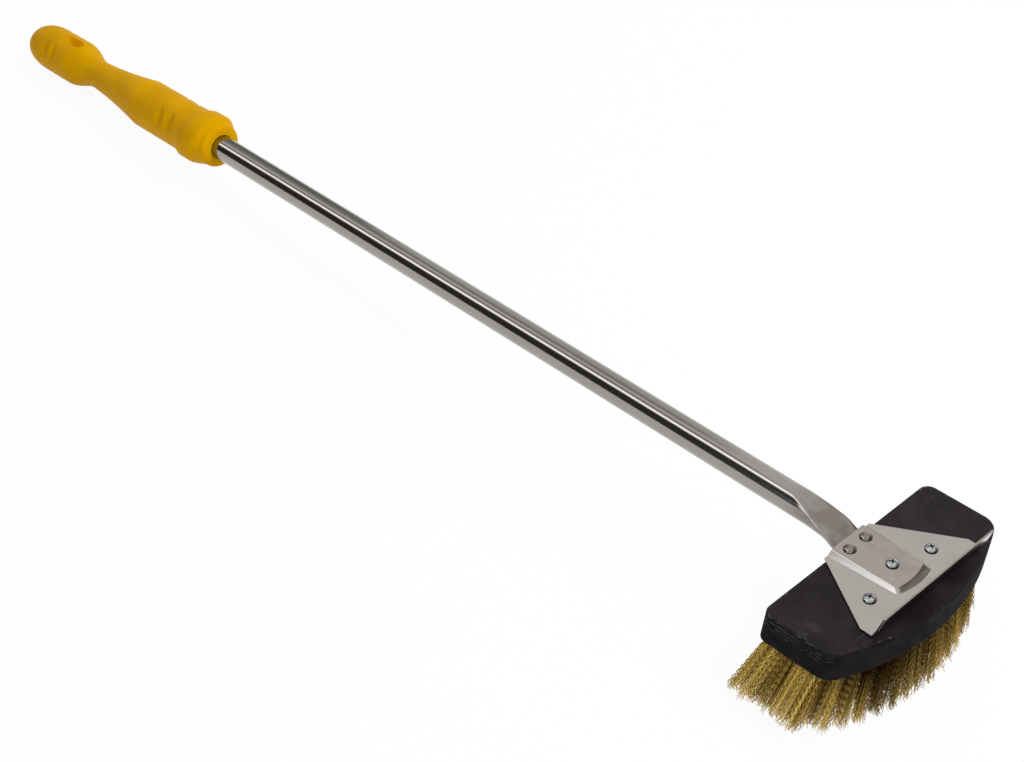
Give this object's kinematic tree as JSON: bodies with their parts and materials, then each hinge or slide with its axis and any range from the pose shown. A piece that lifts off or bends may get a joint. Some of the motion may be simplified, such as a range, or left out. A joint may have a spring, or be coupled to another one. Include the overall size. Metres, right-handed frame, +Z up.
{
  "type": "pizza oven brush",
  "caption": "Long-handled oven brush: a bowed black wooden head with brass wire bristles, an upturned steel scraper plate riveted to a steel tube, and a yellow moulded grip.",
  "frame": {"origin": "middle of the bounding box at ground level, with bristle tips and grip standing on the ground", "axes": "+Y along the handle from the head to the grip, +X along the head's long side, +Z up"},
  "size_m": [0.2334, 1.2502, 0.1052],
  "materials": {
    "black_plywood": "dark film-faced plywood, satin, with fine pale scratches and plies showing on its edges",
    "brass_wire": "crimped brass wire, dull golden olive",
    "polished_steel": "smooth stainless sheet, nearly mirror bright on its bends",
    "brushed_steel": "satin stainless tube, ground along its length",
    "yellow_plastic": "moulded plastic, satin, warm yellow",
    "rivet_steel": "smooth bright domed rivet",
    "zinc_steel": "bright zinc plating"
  },
  "bodies": {
    "root": {"head_block": "black_plywood", "bristle_pad": "brass_wire", "scraper_plate": "polished_steel", "handle_tube": "brushed_steel", "grip": "yellow_plastic", "rivet_left": "rivet_steel", "rivet_right": "rivet_steel", "screw_left": "zinc_steel", "screw_right": "zinc_steel", "screw_centre": "zinc_steel"}
  },
  "joints": []
}
